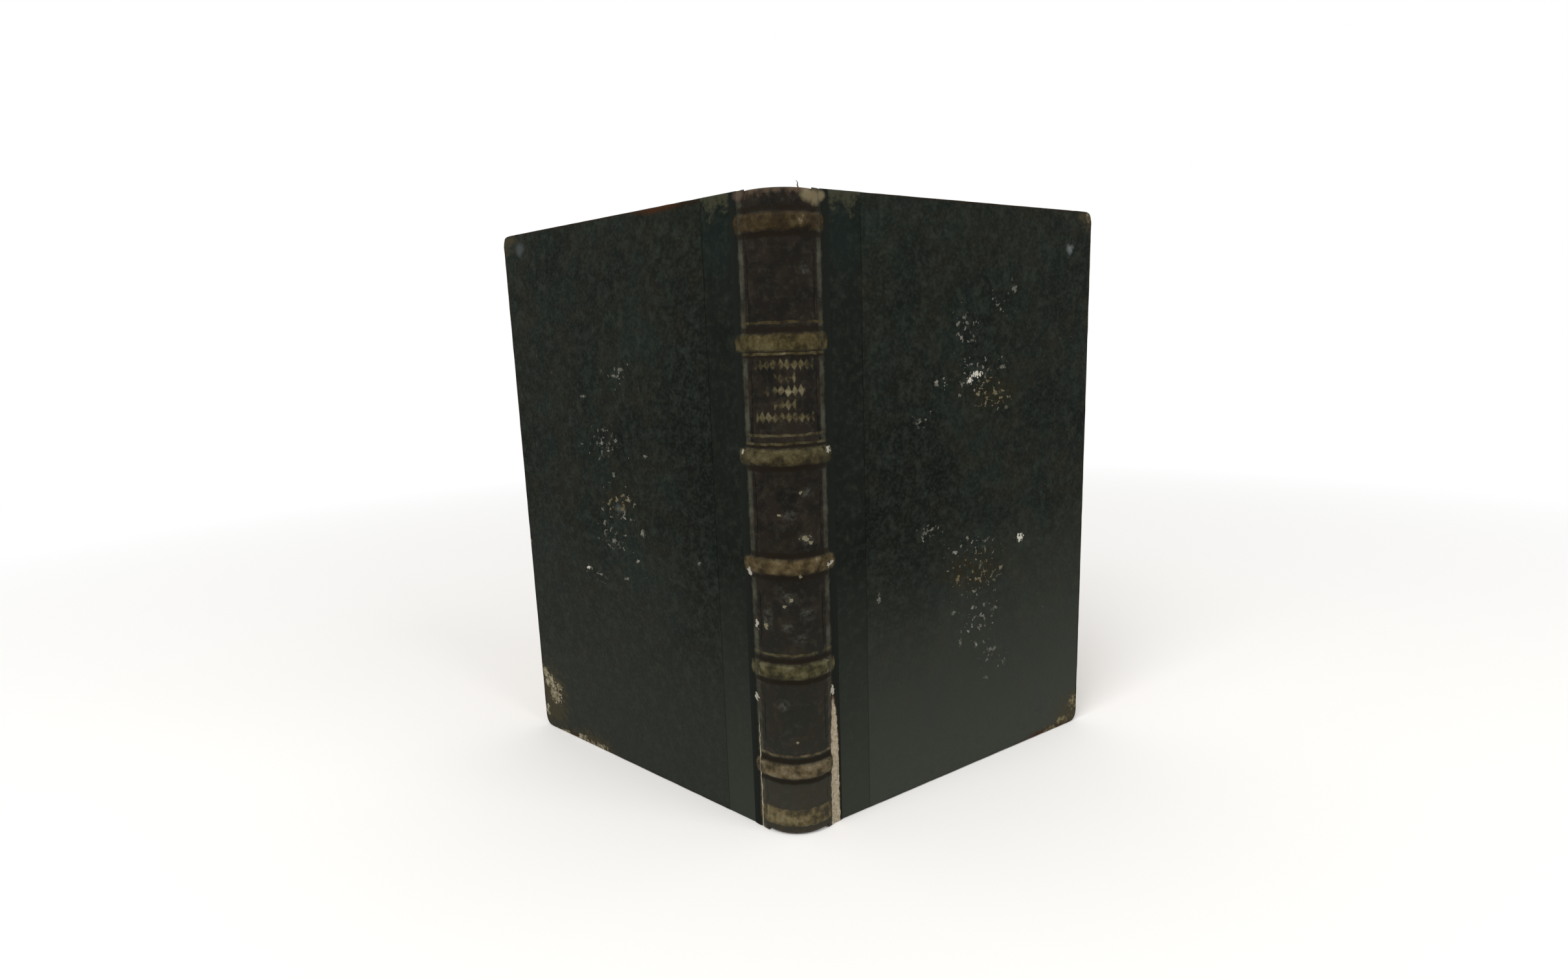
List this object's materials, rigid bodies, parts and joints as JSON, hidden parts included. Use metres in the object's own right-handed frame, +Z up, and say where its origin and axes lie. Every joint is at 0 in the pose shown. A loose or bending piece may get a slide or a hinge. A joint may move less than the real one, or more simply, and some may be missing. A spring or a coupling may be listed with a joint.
{
  "type": "antique leather-backed book",
  "caption": "Old hardback book with a rounded leather spine on raised bands and cloth-covered boards, standing open on its tail; its covers turn at the joints.",
  "frame": {"origin": "centre of the standing book's footprint box, on the surface it stands on", "axes": "+Z up, from the tail of the boards to their head; -Y towards the viewer of the spine, +Y towards the fore-edge of the leaves; +X towards the front cover"},
  "size_m": [0.2324, 0.1344, 0.21],
  "materials": {
    "goatskin": "satin",
    "cover_cloth": "matte",
    "pasteboard": "matte",
    "page_paper": "matte",
    "endpaper": "matte",
    "lining_paper": "matte",
    "sewing_cord": "matte",
    "endband_silk": "satin"
  },
  "bodies": {
    "text_and_spine": {"text_block": "page_paper", "front_flyleaf": "endpaper", "back_flyleaf": "endpaper", "sewing_cord_1": "sewing_cord", "sewing_cord_2": "sewing_cord", "sewing_cord_3": "sewing_cord", "sewing_cord_4": "sewing_cord", "sewing_cord_5": "sewing_cord", "sewing_cord_6": "sewing_cord", "spine_lining_1": "lining_paper", "spine_lining_2": "lining_paper", "spine_lining_3": "lining_paper", "spine_lining_4": "lining_paper", "spine_lining_5": "lining_paper", "spine_lining_6": "lining_paper", "spine_leather": "goatskin", "head_endband": "endband_silk", "tail_endband": "endband_silk"},
    "front_cover": {"front_board": "pasteboard", "front_covering": "cover_cloth", "front_leather": "goatskin", "front_pastedown": "endpaper", "front_cord_slips": "sewing_cord"},
    "back_cover": {"back_board": "pasteboard", "back_covering": "cover_cloth", "back_leather": "goatskin", "back_pastedown": "endpaper", "back_cord_slips": "sewing_cord"}
  },
  "joints": [
    {"name": "front_hinge", "type": "hinge", "parent": "text_and_spine", "child": "front_cover", "pos_m": [0.00653, -0.0593, 0], "axis": [0, 0, -1], "range_deg": [-57.73, 112.27]},
    {"name": "back_hinge", "type": "hinge", "parent": "text_and_spine", "child": "back_cover", "pos_m": [-0.01882, -0.0593, 0], "axis": [0, 0, 1], "range_deg": [-48.66, 121.34]}
  ]
}
